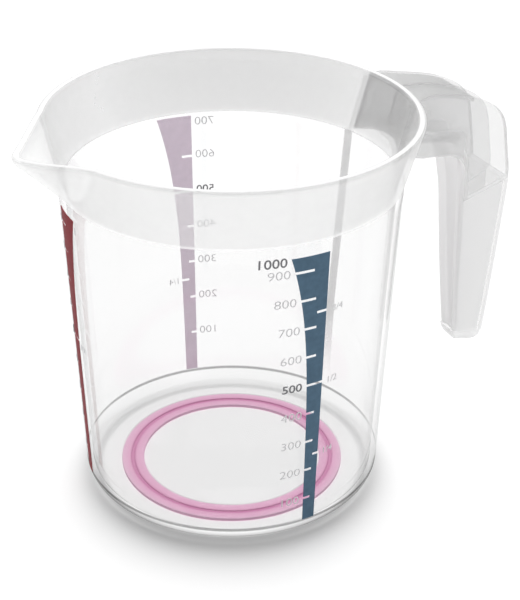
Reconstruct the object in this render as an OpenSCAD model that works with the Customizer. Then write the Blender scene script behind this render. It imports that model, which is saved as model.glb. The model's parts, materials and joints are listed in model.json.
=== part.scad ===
// Clear one-litre measuring jug: tapered vessel, frosted pouring collar,
// open hook handle with a closed lower grip, non-slip base ring and three
// printed scales. The jug's axis is Z, the table is z = 0, the handle points
// to +X and the spout to -X. Millimetres.

/* [Vessel] */
// Outer radius of the vessel's cone at the table
base_r = 52.9; // [51.5:0.1:54.5]
// Outer radius where the frosted collar begins
band_r = 58.0; // [57:0.1:59]
// Height where the frosted collar begins
band_z = 114.3; // [113:0.1:115.5]
// Thickness of the vessel's wall
wall = 2.2; // [1.8:0.1:2.6]
// Height of the inside floor above the table
floor_z = 3.2; // [2.9:0.1:3.6]
// Radius of the fillet between the floor and the wall
floor_fillet = 2.7; // [2.2:0.1:3.4]
// Height of the vessel's underside above the table
foot_z = 0.5; // [0.4:0.1:0.8]
// Radius of the rounded outside edge under the vessel
foot_round = 5.4; // [4.6:0.1:5.8]

/* [Collar and spout] */
// Height of the rim
rim_z = 136.6; // [135.6:0.1:138]
// Outer radius of the rim, away from the spout
rim_r = 64.2; // [63.2:0.1:65.2]
// Width of the thickened rim
rim_t = 2.7; // [2.4:0.1:3.6]
// Height of the rounding over the rim
rim_round = 1.1; // [0.9:0.1:1.4]
// Distance from the jug's axis to the tip of the spout
spout_reach = 75; // [73:0.2:78]
// Radius of the spout's rounded tip, seen from above
spout_tip_r = 8; // [6:0.5:9]
// Where the spout's flank leaves the round wall, as a share of the angle at which it would leave without a fold
spout_fold = 0.76; // [0.7:0.02:0.96]
// How late the spout leaves the cone: larger keeps it near the rim
spout_power = 1.1; // [0.9:0.1:1.8]
// How far the spout's tip stands below the rim
spout_drop = 3; // [0:0.2:4]

/* [Handle] */
// Half the handle's width across its open upper part
grip_half = 12.6; // [11.8:0.2:14]
// Half the handle's width where it meets the collar
root_half = 16.4; // [15.4:0.2:18]
// Thickness of the handle's side walls
side_t = 1.9; // [1.5:0.1:2.3]
// Thickness of the web that joins the side walls
web_t = 1.9; // [1.5:0.1:2.4]
// Thickness of the rib along the middle of the handle
rib_t = 1.8; // [1.2:0.1:2.4]
// Thickness of the cover that closes the lower grip
cover_t = 1.8; // [1.4:0.1:2.2]

/* [Base ring] */
// Inner radius of the non-slip ring
ring_in = 32.4; // [30:0.2:34]
// Outer radius of the non-slip ring
ring_out = 40.5; // [39:0.1:43]
// Depth of the ring's seat in the underside
ring_seat = 0.8; // [0.5:0.1:1.1]
// Width of the groove along the middle of the ring
ring_groove = 1.4; // [0.8:0.1:2]

/* [Scales] */
// Thickness of the print
ink = 0.15; // [0.1:0.05:0.3]
// Height of the scales' top edge
scale_top = 110; // [107:0.1:111]
// Height of the numerals
numeral_h = 3.0; // [2.6:0.1:4]
// Thickness of a tick mark
tick_t = 0.95; // [0.6:0.05:1.4]
// Millilitres for one hundred units on the dry scale
dry_step = 132; // [120:1:140]
// Millilitres that the dry scale's zero lies above the floor
dry_heel = 31; // [0:1:45]

/* [Hidden] */
$fn = 96;

slope = (band_r - base_r) / band_z;
lap_z = 2;          // height of the lap between vessel and collar
lap_t = 1.0;        // how far the lap is set in from the outside
fit_gap = 0.05;     // room between glued curved faces
function cone_r(z) = base_r + slope * z;
function collar_r(z) = band_r + (rim_r - band_r) * (z - band_z) / (rim_z - band_z);
function collar_t(z) = wall + (rim_t - wall) * smooth((z - rim_z + 5) / 4);
function collar_in(z) = collar_r(z) - collar_t(z);

// ---- volume of the vessel, so that every mark stands at its true level
r_floor = cone_r(floor_z) - wall;
function vol_ml(h) = PI * (h * r_floor * r_floor + r_floor * slope * h * h + slope * slope * h * h * h / 3) / 1000;
function solve(ml, lo, hi, n) = n == 0 ? (lo + hi) / 2 :
    let (m = (lo + hi) / 2) vol_ml(m) < ml ? solve(ml, m, hi, n - 1) : solve(ml, lo, m, n - 1);
function level(ml) = floor_z + solve(ml, 0, 200, 40);

// ---- small vector helpers
function unit(v) = v / norm(v);
function left_of(v) = [-v[1], v[0]];
function arc_pts(cx, cy, r, a0, a1, n) = [for (i = [0:n]) let (a = a0 + (a1 - a0) * i / n) [cx + r * cos(a), cy + r * sin(a)]];

// =====================================================================
// Vessel: clear cone with a filleted floor, a seat for the base ring and
// a thin lap at its top edge that the collar sits on.
module vessel() {
    wi = function (z) cone_r(z) - wall;
    cf = floor_z + floor_fillet;
    color([0.93, 0.95, 0.96, 0.45])
    rotate_extrude($fn = 180) polygon(concat(
        [[0, foot_z], [ring_in - fit_gap, foot_z], [ring_in - fit_gap, foot_z + ring_seat],
         [ring_out + fit_gap, foot_z + ring_seat], [ring_out + fit_gap, foot_z]],
        arc_pts(cone_r(foot_z + foot_round) - foot_round, foot_z + foot_round, foot_round, -90, 0, 12),
        [[band_r, band_z], [band_r - lap_t, band_z], [band_r - lap_t, band_z + lap_z],
         [collar_in(band_z + lap_z), band_z + lap_z], [wi(band_z), band_z]],
        arc_pts(wi(cf) - floor_fillet, cf, floor_fillet, 0, -90, 8),
        [[0, floor_z]]));
}

// =====================================================================
// Collar: frosted flaring band with a thickened rim and the pouring spout.
// At every height the plan is a circle joined by two straight flanks to the
// spout's small tip circle, with a fold where each flank leaves the circle;
// the spout starts from nothing at the bottom of the band and widens upwards.
function plan_r(a, big, tip, centre) =
    let (h = spout_fold * acos(min(1, (big - tip) / centre)),
         p = big * sin(h), q = centre - big * cos(h),
         turn = atan2(q, p) + asin(min(1, tip / norm([p, q]))),
         a_tip = atan2(tip * sin(turn), centre + tip * cos(turn)),
         flank = a <= a_tip ? centre * cos(a) + sqrt(max(0, tip * tip - pow(centre * sin(a), 2))) :
                 (centre * cos(turn) + tip) / cos(min(a, turn) - turn))
    max(flank, big);
function smooth(x) = let (t = min(1, max(0, x))) t * t * (3 - 2 * t);
function from_spout(th) = abs(th - 180);
function rim_lift(th) = -spout_drop * smooth(1 - from_spout(th) / 26);
function share(z) = pow(min(1, max(0, (z - band_z) / (rim_z - 3 - band_z))), spout_power);
function spout_c(z) = collar_r(z) - spout_tip_r + (spout_reach - rim_r) * share(z);
function out_r(th, z) = plan_r(from_spout(th), collar_r(z), spout_tip_r, spout_c(z));
function in_r(th, z) = let (t = collar_t(z)) plan_r(from_spout(th), collar_r(z) - t, spout_tip_r - t, spout_c(z));
rows = [0, 0.26, 0.5, 0.68, 0.82, 0.92, 1];    // heights up the band, as shares
collar_turn = [for (i = [0:46]) i * 3,for (i = [0:14]) 140.5 + i * 2, for (i = [0:28]) 169.5 + i * 0.75,
               for (i = [0:14]) 191.5 + i * 2, for (i = [0:45]) 222 + i * 3];
function collar_section(th) =
    let (zt = rim_z - rim_round, lift = rim_lift(th),
         ro = out_r(th, zt), ri = in_r(th, zt), m = (ro + ri) / 2, w = (ro - ri) / 2, zl = band_z + lap_z)
    concat(
        [for (s = rows) let (z = band_z + (zt - band_z) * s) [out_r(th, z), z + lift * s]],
        [for (a = [36:36:144]) [m + w * cos(a), zt + lift + rim_round * sin(a)]],
        [for (i = [len(rows) - 1:-1:1]) let (s = rows[i], z = band_z + (zt - band_z) * s) [in_r(th, z), z + lift * s]],
        [[in_r(th, zl), zl], [band_r - lap_t + fit_gap, zl], [band_r - lap_t + fit_gap, band_z]]);
module collar() {
    secs = [for (th = collar_turn) [for (p = collar_section(th)) [p[0] * cos(th), p[0] * sin(th), p[1]]]];
    n = len(secs);
    m = len(secs[0]);
    color([0.95, 0.95, 0.95, 0.8])
    polyhedron(
        points = [for (s = secs) for (p = s) p],
        faces = [for (i = [0:n - 1]) for (j = [0:m - 1])
            let (a = i * m + j, b = i * m + (j + 1) % m, c = ((i + 1) % n) * m + (j + 1) % m, d = ((i + 1) % n) * m + j)
            each [[a, b, c], [a, c, d]]], convexity = 6);
}

// =====================================================================
// Handle: an open hook, roofed at its root. Each station holds the inner edge (x, z), the outer
// edge (x, z), the half width at each edge and how far the web is arched.
grip = [
    [63.8, 113.4, 65.2, 135.5, root_half - 0.8, root_half - 0.8, 3.8],
    [67.1, 112.3, 68.0, 135.4, grip_half + 1.9, grip_half + 1.9, 3.6],
    [70.6, 111.5, 71.2, 135.1, grip_half + 0.6, grip_half + 0.6, 3.3],
    [75.0, 110.8, 76.2, 134.3, grip_half, grip_half, 3.0],
    [79.5, 110.1, 84.3, 132.4, grip_half - 0.3, grip_half, 2.6],
    [83.6, 107.9, 92.1, 129.2, grip_half - 1.1, grip_half, 2.3],
    [85.8, 104.6, 98.0, 125.2, grip_half - 2.0, grip_half, 2.0],
    [86.7, 100.2, 101.4, 119.6, grip_half - 2.7, grip_half, 1.8],
    [87.1, 95.2, 103.3, 109.2, grip_half - 3.6, grip_half, 1.6],
    [87.5, 89.7, 104.7, 98.3, grip_half - 4.4, grip_half, 1.5],
    [88.3, 74.7, 104.4, 79.6, grip_half - 5.2, grip_half - 1.4, 1.4],
    [89.2, 58.0, 103.8, 60.4, grip_half - 6.3, grip_half - 2.9, 1.3],
    [90.2, 43.7, 103.2, 44.5, grip_half - 7.2, grip_half - 4.2, 1.2],
    [91.1, 32.9, 102.6, 32.7, grip_half - 7.9, grip_half - 5.2, 1.1]];
kink = 9;           // station where the cover's top edge lies
function blend4(a, b, c, d, t) = 0.5 * (2 * b + (c - a) * t + (2 * a - 5 * b + 4 * c - d) * t * t + (3 * b - a - 3 * c + d) * t * t * t);
function station(x) = let (n = len(grip), i = min(n - 2, floor(x)), t = x - i)
    blend4(grip[max(0, i - 1)], grip[i], grip[i + 1], grip[min(n - 1, i + 2)], t);

// Section of the channel: two side walls, the arched web and the middle rib.
// cut leaves room for the cover along the outer edge.
function shell_section(s, cut) =
    let (d = [s[2] - s[0], s[3] - s[1]], l = norm(d), e = d / l, top = l - cut,
         w = function (u) s[4] + (s[5] - s[4]) * u / l, ar = s[6], fl = s[6] + web_t, rb = rib_t / 2)
    [for (p = [[-w(top), top], [-w(1.2), 1.2], [-w(0) + 1.0, 0], [-0.42 * s[4], ar], [0.42 * s[4], ar],
               [w(0) - 1.0, 0], [w(1.2), 1.2], [w(top), top], [w(top) - side_t, top], [w(fl) - side_t, fl],
               [rb, fl], [rb, top], [-rb, top], [-rb, fl], [-w(fl) + side_t, fl], [-w(top) + side_t, top]])
        [s[0] + e[0] * p[1], p[0], s[1] + e[1] * p[1]]];
// The root lies on the collar's cone.
root = [0, 114.8, 0, 135.2, root_half, root_half, 3.9];
function on_collar(ring) = [for (p = ring) [sqrt(pow(collar_r(p[2]) + fit_gap, 2) - p[1] * p[1]), p[1], p[2]]];
root_ring = on_collar(shell_section(root, 0));
// A roof closes the channel from the root to roof_end, set a little below the walls' edges.
roof_t = 1.6;
roof_set = 0.4;
roof_end = 4.5;     // station where the roof ends
roof_n = 8;         // strips across the roof
function roof_section(s) =
    let (d = [s[2] - s[0], s[3] - s[1]], l = norm(d), e = d / l, w = s[5] - side_t / 2)
    [for (v = [l - roof_set - roof_t, l - roof_set]) for (i = [0:roof_n])
        let (k = v < l - roof_set ? i : roof_n - i, u = w * (2 * k / roof_n - 1)) [s[0] + e[0] * v, u, s[1] + e[1] * v]];
roof_quads = [for (k = [0:roof_n - 1]) [k, k + 1, 2 * roof_n - k, 2 * roof_n + 1 - k]];
cap_quads = [[0, 1, 14, 15], [1, 2, 3, 14], [3, 13, 14], [3, 4, 10, 13], [4, 9, 10], [4, 5, 6, 9], [6, 7, 8, 9], [10, 11, 12, 13]];
function fan(f) = [for (i = [1:len(f) - 2]) [f[0], f[i], f[i + 1]]];
function flip(f) = [f[0], f[2], f[1]];
module loft(rings, caps) {
    n = len(rings);
    m = len(rings[0]);
    polyhedron(
        points = [for (r = rings) for (p = r) p],
        faces = concat(
            [for (c = caps) each fan(c)],
            [for (c = caps) for (t = fan(c)) flip(t) + [1, 1, 1] * (n - 1) * m],
            [for (i = [0:n - 2]) for (j = [0:m - 1])
                let (a = i * m + j, b = i * m + (j + 1) % m, c = (i + 1) * m + (j + 1) % m, d = (i + 1) * m + j)
                each [[a, c, b], [a, d, c]]]), convexity = 8);
}
step_s = 0.01;
module handle_shell() {
    last = len(grip) - 1;
    color([0.9, 0.9, 0.9, 0.85]) union() {
        loft(concat([root_ring],
                    [for (x = [0:0.25:kink]) shell_section(station(x), 0)],
                    [for (x = [kink + step_s, each [kink + 0.25:0.25:last]]) shell_section(station(x), cover_t + fit_gap)]),
             cap_quads);
        loft(concat([on_collar(roof_section(root))], [for (x = [0:0.5:roof_end]) roof_section(station(x))]), roof_quads);
    }
}

// Cover: the outer wall of the lower grip, ending in a solid rounded toe.
function cover_section(s, from, inset) =
    let (d = [s[2] - s[0], s[3] - s[1]], l = norm(d), e = d / l,
         w = function (u) s[4] + (s[5] - s[4]) * u / l - inset, c = 1.1)
    [for (p = [[-w(from), from + inset], [w(from), from + inset], [w(l - c), l - c - inset], [w(l) - 0.3 * c, l - 0.3 * c - inset],
               [w(l) - c, l - inset], [-w(l) + c, l - inset], [-w(l) + 0.3 * c, l - 0.3 * c - inset], [-w(l - c), l - c - inset]])
        [s[0] + e[0] * p[1], p[0], s[1] + e[1] * p[1]]];
function toe(drop) = let (s = grip[len(grip) - 1]) [s[0] + 0.06 * drop, s[1] - drop, s[2] - 0.06 * drop, s[3] - drop, s[4], s[5], s[6]];
module handle_cover() {
    last = len(grip) - 1;
    len_at = function (s) norm([s[2] - s[0], s[3] - s[1]]);
    color([0.88, 0.88, 0.88, 0.85])
    loft(concat(
            [for (x = [kink + step_s, each [kink + 0.25:0.25:last]]) let (s = station(x)) cover_section(s, len_at(s) - cover_t, 0)],
            [for (q = [[0.05, 0], [1.6, 0], [2.8, 0.35], [3.8, 1.0], [4.5, 1.9], [4.9, 3.0]]) cover_section(toe(q[0]), 0, q[1])]),
         [[0, 1, 2, 3, 4, 5, 6, 7]]);
}

// =====================================================================
// Base ring: soft non-slip ring in the seat under the floor, with a groove
// along the middle of each face.
module base_ring() {
    top = foot_z + ring_seat;
    mid = (ring_in + ring_out) / 2;
    g = ring_groove / 2;
    color([0.93, 0.72, 0.84])
    rotate_extrude($fn = 180) polygon([
        [ring_in, 0.35], [ring_in + 0.35, 0], [mid - g, 0], [mid - g + 0.25, 0.45], [mid + g - 0.25, 0.45], [mid + g, 0],
        [ring_out - 0.35, 0], [ring_out, 0.35], [ring_out, top], [mid + g, top], [mid + g - 0.2, top - 0.3],
        [mid - g + 0.2, top - 0.3], [mid - g, top], [ring_in, top]]);
}

// =====================================================================
// Printed scales. A bar is the part of a thin skin on the cone that lies
// under its outline; the outline has one straight edge and one edge that
// flares towards the top, and the tick marks are left unprinted.
function bar_w(t) = 4.5 + 1.5 * t + 7.2 * pow(t, 4.4);
print_z = foot_z + foot_round + 0.2;    // where the cone begins above the rounded edge
module skin(z0, z1) {
    rotate_extrude($fn = 180) polygon([[cone_r(z0) + 0.01, z0], [cone_r(z0) + 0.01 + ink, z0],
                                       [cone_r(z1) + 0.01 + ink, z1], [cone_r(z1) + 0.01, z1]]);
}
// side = 1 flares to the right as seen from outside, side = -1 to the left
module bar(turn, z0, z1, side, full, plain, flared) {
    n = 14;
    intersection() {
        skin(z0 - 0.15, z1 + 0.5);
        rotate([0, 0, turn]) translate([40, 0, 0]) rotate([90, 0, 90])
        linear_extrude(height = 40) difference() {
            polygon(concat([[0, z0], [0, z1]],
                [for (i = [n:-1:0]) let (t = i / n) [side * bar_w(t), z0 + (z1 - z0) * t]]));
            for (z = full) translate([-20, z - tick_t / 2]) square([40, tick_t]);
            for (z = plain) translate([side > 0 ? -20 : -0.42 * bar_w((z - z0) / (z1 - z0)), z - tick_t / 2])
                square([20 + 0.42 * bar_w((z - z0) / (z1 - z0)), tick_t]);
            for (z = flared) let (w = bar_w((z - z0) / (z1 - z0)))
                translate([side > 0 ? 0.45 * w : -w - 20, z - tick_t / 2]) square([0.55 * w + 20, tick_t]);
        }
    }
}

// Numerals of plain strokes on a unit height.
digit_w = 0.56;
stroke_t = 0.15;
function mitred(p, i, s) = let (n = len(p),
    d0 = unit(i == 0 ? p[1] - p[0] : p[i] - p[i - 1]), d1 = unit(i == n - 1 ? p[n - 1] - p[n - 2] : p[i + 1] - p[i]),
    a = left_of(d0), b = left_of(d1)) p[i] + (a + b) / (1 + a * b) * s;
function mitred_loop(p, i, s) = let (n = len(p),
    a = left_of(unit(p[i] - p[(i + n - 1) % n])), b = left_of(unit(p[(i + 1) % n] - p[i]))) p[i] + (a + b) / (1 + a * b) * s;
module stroke(p, t) polygon([for (i = [0:len(p) - 1]) mitred(p, i, t / 2), for (i = [len(p) - 1:-1:0]) mitred(p, i, -t / 2)]);
module loop(p, t) let (n = len(p)) polygon(
    points = [for (i = [0:n - 1]) mitred_loop(p, i, -t / 2), for (i = [0:n - 1]) mitred_loop(p, i, t / 2)],
    paths = [[for (i = [0:n - 1]) i], [for (i = [2 * n - 1:-1:n]) i]]);
function eight(x0, y0, x1, y1, c) = [[x0 + c, y0], [x1 - c, y0], [x1, y0 + c], [x1, y1 - c], [x1 - c, y1], [x0 + c, y1], [x0, y1 - c], [x0, y0 + c]];
module numeral(d, t) {
    w = digit_w;
    if (d == 0) loop(eight(0, 0, w, 1, 0.19), t);
    if (d == 1) stroke([[0.12, 0.8], [0.32, 0.98], [0.32, -t / 2]], t);
    if (d == 2) stroke([[0, 0.76], [0.13, 0.96], [0.43, 0.96], [w, 0.78], [w, 0.62], [0.06, 0], [w + t / 2, 0]], t);
    if (d == 3) stroke([[0, 1], [w - 0.06, 1], [0.26, 0.58], [0.42, 0.56], [w, 0.42], [w, 0.16], [0.42, 0], [0.14, 0], [0, 0.13]], t);
    if (d == 4) { stroke([[0.40, 1 + t / 2], [0.02, 0.28], [w + 0.08, 0.28]], t); stroke([[0.42, 0.62], [0.42, -t / 2]], t); }
    if (d == 5) stroke([[w - 0.02, 1], [0.08, 1], [0.03, 0.56], [0.38, 0.60], [w, 0.44], [w, 0.17], [0.40, 0], [0.14, 0], [0, 0.12]], t);
    if (d == 6) { loop(eight(0, 0, w, 0.56, 0.16), t); stroke([[0, 0.34], [0, 0.72], [0.2, 1], [0.5, 1]], t); }
    if (d == 7) stroke([[-t / 2, 1], [w, 1], [0.18, -t / 2]], t);
    if (d == 8) { loop(eight(0.04, 0.53, w - 0.04, 1, 0.14), t); loop(eight(0, 0, w, 0.53, 0.15), t); }
    if (d == 9) translate([w, 1]) rotate(180) { loop(eight(0, 0, w, 0.56, 0.16), t); stroke([[0, 0.34], [0, 0.72], [0.2, 1], [0.5, 1]], t); }
}
// One numeral as a flat chip on the cone at height z, u millimetres along
// the wall to the right of the angle turn.
module chip(d, turn, u, z, h, t) {
    a = turn + u / cone_r(z) * 180 / PI;
    rotate([0, 0, a]) translate([cone_r(z) + 0.02, 0, z]) rotate([90 - atan(slope), 0, 90])
        translate([0, 0, 0]) linear_extrude(height = ink) translate([-digit_w * h / 2, -h / 2]) scale(h) numeral(d, t);
}
function digits(n) = n < 10 ? [n] : concat(digits(floor(n / 10)), [n % 10]);
pitch = 0.86;
// A whole number; at = -1 ends at u, at = 1 begins at u.
module number(n, turn, u, z, h, at, t = stroke_t) {
    d = digits(n);
    for (i = [0:len(d) - 1])
        chip(d[i], turn, u + (at > 0 ? (i + 0.5) : (i - len(d) + 0.5)) * pitch * h, z, h, t);
}
// A fraction on one line.
module fraction(a, b, turn, u, z, h) {
    chip(a, turn, u + 0.4 * h, z + 0.25 * h, 0.62 * h, 0.16);
    chip(b, turn, u + 1.35 * h, z - 0.25 * h, 0.62 * h, 0.16);
    rotate([0, 0, turn + (u + 0.87 * h) / cone_r(z) * 180 / PI]) translate([cone_r(z) + 0.02, 0, z]) rotate([90 - atan(slope), 0, 90])
        linear_extrude(height = ink) stroke([[-0.2 * h, -0.5 * h], [0.2 * h, 0.5 * h]], 0.1 * h);
}

blue_turn = -83.3;
blue_z0 = print_z;
function blue_edge(z) = -bar_w((z - blue_z0) / (scale_top - blue_z0));
module blue_scale_bar() {
    color([0.31, 0.41, 0.49])
    bar(blue_turn, blue_z0, scale_top, -1, [level(500)], [level(250), level(750)],
        [for (v = [100, 200, 300, 400, 600, 700, 800, 900]) level(v)]);
}
module blue_scale_numbers() {
    color([0.62, 0.62, 0.63]) {
        number(1000, blue_turn, blue_edge(scale_top) - 1.3, level(900) + 4.4, numeral_h * 1.1, -1, 0.22);
        for (v = [100:100:900])
            number(v, blue_turn, blue_edge(level(v)) - 1.7, level(v), numeral_h, -1, v == 500 ? 0.22 : stroke_t);
        fraction(3, 4, blue_turn, 2.4, level(750), 2.4);
        fraction(1, 2, blue_turn, 2.4, level(500), 2.4);
        fraction(1, 4, blue_turn, 2.4, level(250), 2.4);
    }
}

red_turn = 171;
red_z0 = print_z;
function red_edge(z) = bar_w((z - red_z0) / (scale_top - red_z0));
module red_scale_bar() {
    color([0.52, 0.16, 0.20])
    bar(red_turn, red_z0, scale_top, 1, [level(500)], [for (v = [100, 200, 300, 400, 600, 700, 800, 900]) level(v)], []);
}
module red_scale_numbers() {
    color([0.62, 0.62, 0.63]) {
        for (v = [1:9]) number(v, red_turn, -1.6, level(100 * v), numeral_h, -1, v == 5 ? 0.22 : stroke_t);
        number(1, red_turn, red_edge(scale_top - 3) + 1.2, scale_top - 3.4, 2.6, 1);
        fraction(1, 2, red_turn, red_edge(level(500)) + 2.0, level(500) - 1.5, 2.4);
    }
}

mauve_turn = 79.8;
mauve_z0 = print_z + 0.5;
mauve_z1 = min(scale_top + 2.4, band_z - 0.8);
function mauve_edge(z) = bar_w((z - mauve_z0) / (mauve_z1 - mauve_z0));
function dry(n) = level(dry_heel + dry_step * n);
module mauve_scale_bar() {
    color([0.76, 0.72, 0.77])
    bar(mauve_turn, mauve_z0, mauve_z1, 1, [dry(5)], [for (n = [1, 2, 3, 4, 6]) dry(n)], [dry(2.5)]);
}
module mauve_scale_numbers() {
    color([0.66, 0.66, 0.67]) {
        number(700, mauve_turn, -1.4, mauve_z1 - 2.2, numeral_h, -1);
        for (n = [1:6]) number(100 * n, mauve_turn, -1.4, dry(n) + 0.6, numeral_h, -1, n == 5 ? 0.22 : stroke_t);
        fraction(1, 4, mauve_turn, mauve_edge(dry(2.5)) + 1.6, dry(2.5), 2.4);
    }
}

vessel();
collar();
handle_shell();
handle_cover();
base_ring();
blue_scale_bar();
blue_scale_numbers();
red_scale_bar();
red_scale_numbers();
mauve_scale_bar();
mauve_scale_numbers();
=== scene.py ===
import json
import math

import bmesh
import bpy
from mathutils import Matrix, Vector

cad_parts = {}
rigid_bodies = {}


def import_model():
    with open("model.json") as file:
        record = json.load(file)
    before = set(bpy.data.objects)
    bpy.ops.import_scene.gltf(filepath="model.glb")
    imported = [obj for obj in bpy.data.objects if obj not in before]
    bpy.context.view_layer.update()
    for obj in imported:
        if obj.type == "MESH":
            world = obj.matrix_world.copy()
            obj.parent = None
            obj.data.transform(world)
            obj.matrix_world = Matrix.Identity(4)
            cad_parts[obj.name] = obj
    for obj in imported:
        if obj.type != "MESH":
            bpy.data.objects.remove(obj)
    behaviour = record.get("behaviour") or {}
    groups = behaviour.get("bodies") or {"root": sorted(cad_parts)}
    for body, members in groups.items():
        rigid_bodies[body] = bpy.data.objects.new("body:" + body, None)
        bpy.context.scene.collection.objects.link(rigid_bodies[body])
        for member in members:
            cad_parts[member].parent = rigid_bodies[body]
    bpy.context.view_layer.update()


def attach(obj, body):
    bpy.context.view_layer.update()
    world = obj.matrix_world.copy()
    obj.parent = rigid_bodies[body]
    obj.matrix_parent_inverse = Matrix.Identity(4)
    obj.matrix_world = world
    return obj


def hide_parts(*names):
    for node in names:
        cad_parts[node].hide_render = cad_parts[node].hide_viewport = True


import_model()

MM = 0.001
scene = bpy.context.scene

# ---------------------------------------------------------------- sizes, mm
BASE_R, BAND_R, BAND_Z = 52.9, 58.0, 114.3
WALL, FLOOR_Z, FLOOR_FILLET = 2.2, 3.2, 2.7
FOOT_Z, FOOT_ROUND = 0.5, 5.4
RIM_Z, RIM_R, RIM_T, RIM_ROUND = 136.6, 64.2, 2.7, 1.1
SPOUT_REACH, SPOUT_TIP, SPOUT_FOLD, SPOUT_POWER, SPOUT_DROP = 75.0, 8.0, 0.76, 1.1, 3.0
GRIP_HALF, ROOT_HALF = 12.6, 16.4
SIDE_T, WEB_T, RIB_T, COVER_T = 1.9, 1.9, 1.8, 1.8
RING_IN, RING_OUT, RING_SEAT, RING_GROOVE = 32.4, 40.5, 0.8, 1.4
INK, SCALE_TOP, NUMERAL_H, TICK_T = 0.15, 110.0, 3.0, 0.95
DRY_STEP, DRY_HEEL = 132.0, 31.0
SLOPE = (BAND_R - BASE_R) / BAND_Z
CORNER_Z = FOOT_Z + FOOT_ROUND          # where the straight wall begins
PRINT_Z = CORNER_Z + 0.2


def cone_r(z):
    return BASE_R + SLOPE * z


def collar_r(z):
    return BAND_R + (RIM_R - BAND_R) * (z - BAND_Z) / (RIM_Z - BAND_Z)


def smooth(x):
    t = min(1.0, max(0.0, x))
    return t * t * (3 - 2 * t)


def collar_t(z):
    return WALL + (RIM_T - WALL) * smooth((z - RIM_Z + 5) / 4)


R_FLOOR = cone_r(FLOOR_Z) - WALL


def vol_ml(h):
    return math.pi * (h * R_FLOOR ** 2 + R_FLOOR * SLOPE * h * h + SLOPE ** 2 * h ** 3 / 3) / 1000


def level(ml):
    lo, hi = 0.0, 200.0
    for _ in range(50):
        m = (lo + hi) / 2
        if vol_ml(m) < ml:
            lo = m
        else:
            hi = m
    return FLOOR_Z + (lo + hi) / 2


# ---------------------------------------------------------------- mesh help
def make(name, verts, faces, material, sharp=35.0, replaces=(), slot=None):
    """A closed mesh in millimetres becomes a piece on the jug's body."""
    me = bpy.data.meshes.new(name)
    me.from_pydata([(x * MM, y * MM, z * MM) for x, y, z in verts], [], faces)
    bm = bmesh.new()
    bm.from_mesh(me)
    bmesh.ops.remove_doubles(bm, verts=bm.verts, dist=1e-7)
    bmesh.ops.recalc_face_normals(bm, faces=bm.faces)
    bm.to_mesh(me)
    bm.free()
    me.shade_smooth()
    me.set_sharp_from_angle(angle=math.radians(sharp))
    me.materials.append(material)
    ob = bpy.data.objects.new(name, me)
    scene.collection.objects.link(ob)
    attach(ob, "root")
    if replaces:
        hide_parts(*replaces)
    return ob


def lathe(profile, n):
    """A closed outline (radius, z) turned about Z."""
    verts, faces, rings = [], [], []
    for r, z in profile:
        if r < 1e-6:
            rings.append([len(verts)])
            verts.append((0.0, 0.0, z))
        else:
            rings.append(list(range(len(verts), len(verts) + n)))
            verts += [(r * math.cos(2 * math.pi * i / n), r * math.sin(2 * math.pi * i / n), z) for i in range(n)]
    m = len(rings)
    for k in range(m):
        a, b = rings[k], rings[(k + 1) % m]
        if len(a) == 1 and len(b) == 1:
            continue
        for i in range(n):
            j = (i + 1) % n
            if len(a) == 1:
                faces.append((a[0], b[j], b[i]))
            elif len(b) == 1:
                faces.append((a[i], a[j], b[0]))
            else:
                faces.append((a[i], a[j], b[j], b[i]))
    return verts, faces


def loft(rings, caps=True, closed=False):
    """Rings of equal length, joined; flat ends are closed with one face each."""
    n, m = len(rings), len(rings[0])
    verts = [p for r in rings for p in r]
    faces = []
    for i in range(n if closed else n - 1):
        a, b = i * m, ((i + 1) % n) * m
        for j in range(m):
            k = (j + 1) % m
            faces.append((a + j, a + k, b + k, b + j))
    if caps and not closed:
        faces.append(tuple(range(m - 1, -1, -1)))
        faces.append(tuple(range((n - 1) * m, n * m)))
    return verts, faces


def rounded(poly, radii, steps=4):
    """The corners of a plane outline, each replaced by an arc."""
    out = []
    n = len(poly)
    for i, p in enumerate(poly):
        r = radii[i] if isinstance(radii, (list, tuple)) else radii
        p = Vector(p)
        a, b = Vector(poly[i - 1]) - p, Vector(poly[(i + 1) % n]) - p
        la, lb = a.length, b.length
        a, b = a / la, b / lb
        ang = math.acos(max(-1.0, min(1.0, a.dot(b))))
        if r <= 0 or ang > math.pi - 0.01:
            out += [(p.x, p.y)] * (steps + 1)
            continue
        cut = min(r / math.tan(ang / 2), 0.48 * la, 0.48 * lb)
        r = cut * math.tan(ang / 2)
        c = p + (a + b).normalized() * (r / math.sin(ang / 2))
        s, e = p + a * cut - c, p + b * cut - c
        turn = math.atan2(s.x * e.y - s.y * e.x, s.dot(e))
        for k in range(steps + 1):
            t = turn * k / steps
            out.append((c.x + s.x * math.cos(t) - s.y * math.sin(t), c.y + s.x * math.sin(t) + s.y * math.cos(t)))
    return out


def arc(cx, cy, r, a0, a1, n):
    return [(cx + r * math.cos(math.radians(a0 + (a1 - a0) * i / n)),
             cy + r * math.sin(math.radians(a0 + (a1 - a0) * i / n))) for i in range(n + 1)]


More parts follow.
